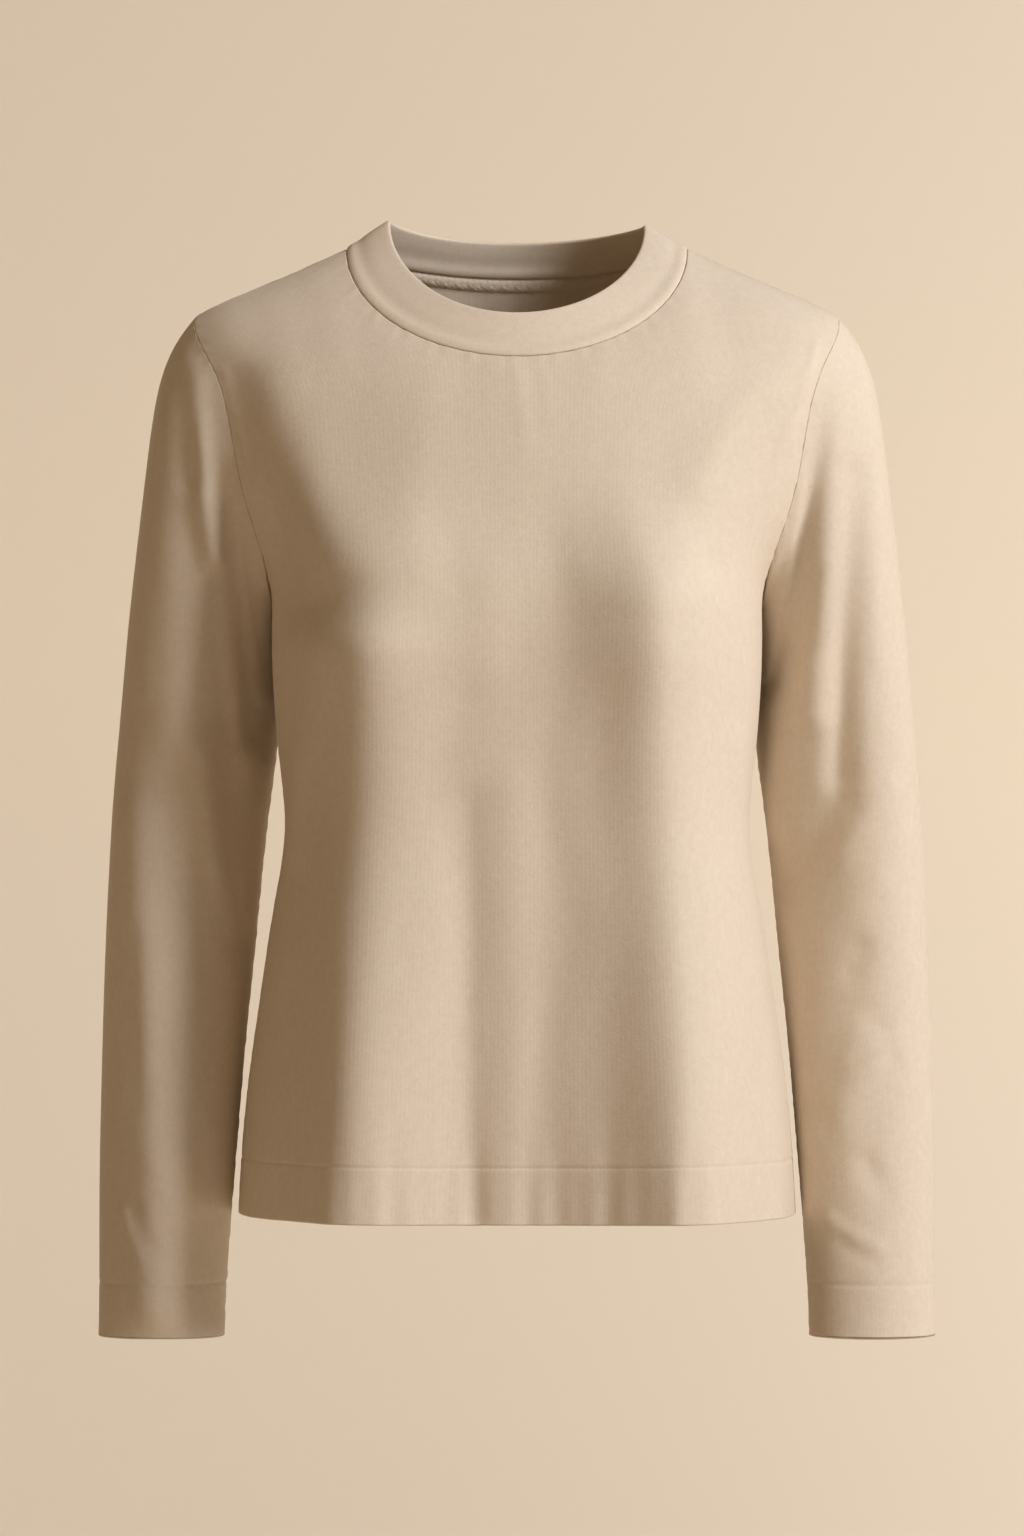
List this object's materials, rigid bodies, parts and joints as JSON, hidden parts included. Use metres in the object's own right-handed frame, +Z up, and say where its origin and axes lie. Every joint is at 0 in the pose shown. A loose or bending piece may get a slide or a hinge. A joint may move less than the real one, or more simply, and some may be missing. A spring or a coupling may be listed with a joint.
{
  "type": "long-sleeved crew-neck top",
  "caption": "Hollow long-sleeved knitted top with a wide folded crew neckband, filled out as if worn, open at neck, hem and cuffs.",
  "frame": {"origin": "centre of the neck, level with the inner ends of the shoulder seams, where a wearer's neck and shoulders hold the top", "axes": "+Z up towards the neck, -Y out of the front, +X towards the wearer's left sleeve"},
  "size_m": [0.5084, 0.2488, 0.6756],
  "materials": {
    "front_panel_cloth": "fine beige cotton jersey, matt",
    "back_panel_cloth": "fine beige cotton jersey, matt",
    "sleeve_left_cloth": "fine beige cotton jersey, matt",
    "sleeve_right_cloth": "fine beige cotton jersey, matt",
    "neckband_cloth": "fine beige cotton jersey, matt",
    "back_neck_tape_cloth": "narrow puckered self-fabric tape, matt"
  },
  "bodies": {
    "root": {"front_panel": "front_panel_cloth", "back_panel": "back_panel_cloth", "sleeve_left": "sleeve_left_cloth", "sleeve_right": "sleeve_right_cloth", "neckband": "neckband_cloth", "back_neck_tape": "back_neck_tape_cloth"}
  },
  "joints": []
}
